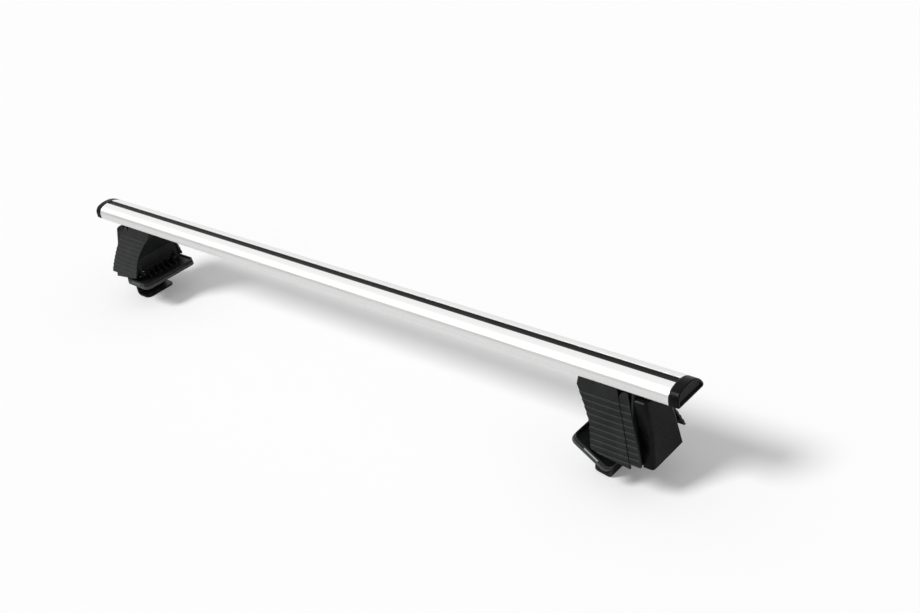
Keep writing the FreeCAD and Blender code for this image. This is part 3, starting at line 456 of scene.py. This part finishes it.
@dataclass
class TrayFittings:
    """Rail and ribs moulded on a pad's tray, and the steel insert's tab that shows at one end of the tray.

    Lengths are in millimetres from the tray's pivot: inboard, across and up, with the tray level.
    """

    side: Side
    rail: tuple[float, float] = (-3.7, -1.5)
    rail_half: float = 33.5
    rail_up: tuple[float, float] = (5.8, 8.9)
    rail_round: float = 0.5
    rib_inboard: tuple[float, float] = (-1.9, 16.5)
    rib_up: tuple[float, float] = (-5.3, 6.6)
    rib_toe: float = -3.4
    rib_thick: float = 1.8
    rib_first: float = -29.0
    rib_pitch: float = 11.6
    rib_count: int = 6
    rib_round: float = 0.4
    tab_inboard: tuple[float, float] = (-12.5, 12.5)
    tab_across: tuple[float, float] = (55.9, 56.9)
    tab_up: tuple[float, float] = (-8.0, -5.4)
    tab_round: float = 0.25
    round_segments: int = 2

    def tilt_joint(self) -> dict[str, Any]:
        """The joint that this tray tilts on, as the record gives it."""
        joints = {joint["name"]: joint for joint in frame["record"]["behaviour"]["joints"]}
        return joints[f"pad_tilt_{self.side.word}"]

    def block(
        self, name: str, inboard: tuple[float, float], across: tuple[float, float], up: tuple[float, float]
    ) -> bpy.types.Object:
        """Adds a cube stretched to a place in the tray's own frame, with its place in its mesh.

        Args:
            name: The piece's name.
            inboard: Its span inboard of the pivot.
            across: Its span along the pivot.
            up: Its span above the pivot.

        Returns:
            The new piece, selected and active.
        """
        bpy.ops.object.select_all(action="DESELECT")
        spans = (inboard, across, up)
        middle = [MM * (low + high) / 2 for low, high in spans]
        outboard = -self.side.value * middle[0]
        bpy.ops.mesh.primitive_cube_add(size=1.0, location=(outboard, middle[1], middle[2]))
        piece = bpy.context.object
        piece.name = name
        piece.scale = [MM * (high - low) for low, high in spans]
        bpy.ops.object.transform_apply(location=True, rotation=True, scale=True)
        return piece

    def round_edges(self, piece: bpy.types.Object, width: float) -> None:
        """Bevels every edge of a piece and smooths its shading.

        Args:
            piece: The piece to round.
            width: The bevel's width in millimetres.
        """
        bpy.ops.object.select_all(action="DESELECT")
        piece.select_set(True)
        bpy.context.view_layer.objects.active = piece
        bpy.ops.object.mode_set(mode="EDIT")
        bpy.ops.mesh.select_all(action="SELECT")
        bpy.ops.mesh.bevel(
            offset=width * MM, offset_type="OFFSET", segments=self.round_segments, affect="EDGES"
        )
        bpy.ops.mesh.normals_make_consistent(inside=False)
        bpy.ops.object.mode_set(mode="OBJECT")
        bpy.ops.object.shade_smooth_by_angle(angle=math.radians(SMOOTH_DEGREES))

    def slope_down(self, rib: bpy.types.Object) -> None:
        """Lowers the upper corners at a rib's inboard end to its toe.

        Args:
            rib: The upright plate, selected and active.
        """
        end = -self.side.value * self.rib_inboard[1] * MM
        bpy.ops.object.mode_set(mode="EDIT")
        bpy.ops.mesh.select_mode(type="VERT")
        bpy.ops.mesh.select_all(action="DESELECT")
        bpy.ops.object.mode_set(mode="OBJECT")
        for corner in rib.data.vertices:
            corner.select = abs(corner.co.x - end) < NEAR_MM * MM and corner.co.z > self.rib_toe * MM
        bpy.ops.object.mode_set(mode="EDIT")
        bpy.ops.transform.translate(value=(0, 0, (self.rib_toe - self.rib_up[1]) * MM))
        bpy.ops.object.mode_set(mode="OBJECT")

    def rib(self) -> bpy.types.Object:
        """Makes the first rib: a thin upright plate whose top slopes down inboard.

        Returns:
            The rib, in the tray's own frame.
        """
        across = (self.rib_first - self.rib_thick / 2, self.rib_first + self.rib_thick / 2)
        rib = self.block("tray_rib", self.rib_inboard, across, self.rib_up)
        self.slope_down(rib)
        self.round_edges(rib, self.rib_round)
        return rib

    def copies(self, piece: bpy.types.Object, steps: list[float]) -> list[bpy.types.Object]:
        """Copies a piece along the pivot, each copy with its own mesh.

        Args:
            piece: The piece to copy.
            steps: The distance of each copy in millimetres.

        Returns:
            The copies.
        """
        made = []
        for step in steps:
            bpy.ops.object.select_all(action="DESELECT")
            piece.select_set(True)
            bpy.context.view_layer.objects.active = piece
            bpy.ops.object.duplicate(linked=False)
            copy = bpy.context.object
            copy.location.y += step * MM
            made.append(copy)
        return made

    def settle(self, pieces: list[bpy.types.Object], name: str) -> bpy.types.Object:
        """Joins pieces, turns them with the tray, puts them on its pivot and hands them to its body.

        Args:
            pieces: The pieces that become one.
            name: The joined piece's name, without its side.

        Returns:
            The joined piece.
        """
        bpy.ops.object.select_all(action="DESELECT")
        for piece in pieces:
            piece.select_set(True)
        bpy.context.view_layer.objects.active = pieces[0]
        bpy.ops.object.transform_apply(location=True, rotation=True, scale=True)
        if len(pieces) > 1:
            bpy.ops.object.join()
        whole = bpy.context.object
        whole.name = f"{name}_{self.side.word}"
        whole.data.name = whole.name
        joint = self.tilt_joint()
        # A tray is level at the joint's lower limit, so that limit gives how far it is tilted at rest
        whole.rotation_euler = (0.0, -math.radians(joint["range_deg"][0]), 0.0)
        whole.location = joint["pos_m"]
        bpy.ops.object.transform_apply(location=True, rotation=True, scale=True)
        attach(whole, f"pad_{self.side.word}")
        return whole

    def add_ribs(self) -> None:
        """Adds the rail along the tray's cross wall and the ribs that brace it."""
        rail = self.block("tray_rail", self.rail, (-self.rail_half, self.rail_half), self.rail_up)
        self.round_edges(rail, self.rail_round)
        first = self.rib()
        rest = self.copies(first, [self.rib_pitch * step for step in range(1, self.rib_count)])
        ribs = self.settle([rail, first, *rest], "tray_ribs")
        MOULDED_NYLON.coat(ribs)

    def add_tab(self) -> None:
        """Adds the insert's tab, in front on the right foot and behind on the left: one part turned round."""
        near, far = sorted(-self.side.value * reach for reach in self.tab_across)
        tab = self.block("insert_tab", self.tab_inboard, (near, far), self.tab_up)
        self.round_edges(tab, self.tab_round)
        tab = self.settle([tab], "insert_tab")
        ZINC_PLATED_STEEL.coat(tab)

    def build(self) -> None:
        """Adds all the fittings of this tray."""
        self.add_ribs()
        self.add_tab()


@dataclass
class Studio:
    """Pale floor, soft light and the camera at the photograph's angle.

    Lengths are in metres and angles in radians. The world has three levels: soft_level lights matt surfaces,
    sky_level is what metal and gloss reflect, and dim_level takes its place low in front of the bar, within
    dim_height and dim_front, which are shares of a direction's length. The camera sees the world as white.
    floor_glow lifts the floor to white for the camera, and floor_glint does so a little in reflections.
    """

    camera_place: tuple[float, float, float] = (1.32875, -1.03246, 1.04063)
    yaw: float = 0.801
    pitch: float = -0.524
    roll: float = -0.176
    lens_mm: float = 46.93
    sensor_mm: float = 36.0
    clip_end: float = 100.0
    floor_half: float = 15.0
    floor_colour: str = "e9e9e9"
    floor_glow: float = 0.165
    floor_glint: float = 0.01
    soft_level: float = 0.42
    sky_level: float = 1.0
    dim_level: float = 0.38
    dim_height: tuple[float, float] = (0.16, 0.46)
    dim_front: tuple[float, float] = (0.05, 0.55)
    key_strength: float = 2.5
    key_angle: float = 0.32
    key_from: tuple[float, float, float] = (-1.1, -1.5, 2.0)

    def aim_camera(self) -> None:
        """Adds the camera, turned by its yaw, pitch and roll."""
        flat = math.cos(self.pitch)
        ahead = Vector((-math.sin(self.yaw) * flat, math.cos(self.yaw) * flat, math.sin(self.pitch)))
        level = ahead.cross(Vector((0, 0, 1))).normalized()
        over = level.cross(ahead)
        right = level * math.cos(self.roll) + over * math.sin(self.roll)
        up = over * math.cos(self.roll) - level * math.sin(self.roll)
        lens = bpy.data.cameras.new("camera")
        lens.sensor_fit = "HORIZONTAL"
        lens.sensor_width = self.sensor_mm
        lens.lens = self.lens_mm
        lens.clip_end = self.clip_end
        camera = bpy.data.objects.new("camera", lens)
        turn = Matrix((right, up, -ahead)).transposed().to_4x4()
        camera.matrix_world = Matrix.Translation(self.camera_place) @ turn
        bpy.context.scene.collection.objects.link(camera)
        bpy.context.scene.camera = camera

    def lay_floor(self) -> None:
        """Adds a pale matt floor with a faint glow, so that it looks white and keeps its shadows."""
        bpy.ops.mesh.primitive_plane_add(size=2 * self.floor_half, location=(0, 0, 0))
        floor = bpy.context.object
        floor.name = "floor"
        material = bpy.data.materials.new("painted_floor")
        material.use_nodes = True
        tree = material.node_tree
        tree.nodes.clear()
        path = add_node(tree, "ShaderNodeLightPath")
        mirrored = add_node(
            tree,
            "ShaderNodeMath",
            {"operation": "MAXIMUM"},
            {0: path.outputs["Is Glossy Ray"], 1: path.outputs["Is Transmission Ray"]},
        )
        glint = add_node(
            tree,
            "ShaderNodeMath",
            {"operation": "MULTIPLY"},
            {0: mirrored.outputs["Value"], 1: self.floor_glint},
        )
        glow = add_node(
            tree,
            "ShaderNodeMath",
            {"operation": "MULTIPLY_ADD"},
            {0: path.outputs["Is Camera Ray"], 1: self.floor_glow, 2: glint.outputs["Value"]},
        )
        shine = add_node(tree, "ShaderNodeEmission", {}, {"Strength": glow.outputs["Value"]})
        matt = add_node(tree, "ShaderNodeBsdfDiffuse", {}, {"Color": linear(self.floor_colour)})
        both = add_node(
            tree, "ShaderNodeAddShader", {}, {0: matt.outputs["BSDF"], 1: shine.outputs["Emission"]}
        )
        add_node(tree, "ShaderNodeOutputMaterial", {}, {"Surface": both.outputs["Shader"]})
        floor.data.materials.append(material)

    def wrap_world(self) -> None:
        """Adds the white world, with its own level for the camera, for reflections and for matt surfaces."""
        world = bpy.data.worlds.new("studio")
        bpy.context.scene.world = world
        world.use_nodes = True
        tree = world.node_tree
        tree.nodes.clear()
        place = add_node(tree, "ShaderNodeTexCoord")
        parts = add_node(tree, "ShaderNodeSeparateXYZ", {}, {0: place.outputs["Generated"]})
        low = add_node(
            tree,
            "ShaderNodeMapRange",
            {"interpolation_type": "SMOOTHSTEP"},
            {
                "Value": parts.outputs["Z"],
                "From Min": self.dim_height[0],
                "From Max": self.dim_height[1],
                "To Min": self.sky_level - self.dim_level,
                "To Max": 0.0,
            },
        )
        front = add_node(
            tree,
            "ShaderNodeMapRange",
            {"interpolation_type": "SMOOTHSTEP"},
            {
                "Value": parts.outputs["Y"],
                "From Min": -self.dim_front[1],
                "From Max": -self.dim_front[0],
                "To Min": 1.0,
                "To Max": 0.0,
            },
        )
        loss = add_node(
            tree,
            "ShaderNodeMath",
            {"operation": "MULTIPLY"},
            {0: low.outputs["Result"], 1: front.outputs["Result"]},
        )
        level = add_node(
            tree, "ShaderNodeMath", {"operation": "SUBTRACT"}, {0: self.sky_level, 1: loss.outputs["Value"]}
        )
        path = add_node(tree, "ShaderNodeLightPath")
        mirrored = add_node(
            tree,
            "ShaderNodeMath",
            {"operation": "MAXIMUM"},
            {0: path.outputs["Is Glossy Ray"], 1: path.outputs["Is Transmission Ray"]},
        )
        soft, clear = MIX_VALUES
        lit = add_node(
            tree,
            "ShaderNodeMix",
            {"data_type": "FLOAT"},
            {MIX_FACTOR: mirrored.outputs["Value"], soft: self.soft_level, clear: level.outputs["Value"]},
        )
        shown = add_node(
            tree,
            "ShaderNodeMath",
            {"operation": "MAXIMUM"},
            {0: lit.outputs[MIX_VALUE], 1: path.outputs["Is Camera Ray"]},
        )
        sky = add_node(
            tree, "ShaderNodeBackground", {}, {"Color": linear("ffffff"), "Strength": shown.outputs["Value"]}
        )
        add_node(tree, "ShaderNodeOutputWorld", {}, {"Surface": sky.outputs["Background"]})

    def hang_key(self) -> None:
        """Adds one broad soft lamp, in front of the bar's left end."""
        lamp = bpy.data.lights.new("key", "SUN")
        lamp.energy = self.key_strength
        lamp.angle = self.key_angle
        key = bpy.data.objects.new("key", lamp)
        key.location = self.key_from
        key.rotation_euler = (-Vector(self.key_from)).to_track_quat("-Z", "Y").to_euler()
        bpy.context.scene.collection.objects.link(key)

    def set_up(self) -> None:
        """Builds the whole studio."""
        bpy.context.scene.view_settings.view_transform = "Standard"
        self.aim_camera()
        self.lay_floor()
        self.wrap_world()
        self.hang_key()


def main() -> None:
    """Dresses the bar and both feet, fits the trays and sets up the studio, in that order."""
    logging.basicConfig(level=logging.INFO)
    bpy.ops.object.select_all(action="DESELECT")
    Bar().dress()
    LOG.info("bar dressed")
    for side in Side:
        Foot(side).dress()
        LOG.info("%s foot dressed", side.word)
        TrayFittings(side).build()
        LOG.info("%s tray fitted", side.word)
    Studio().set_up()
    LOG.info("studio set up")


if __name__ == "__main__":
    main()
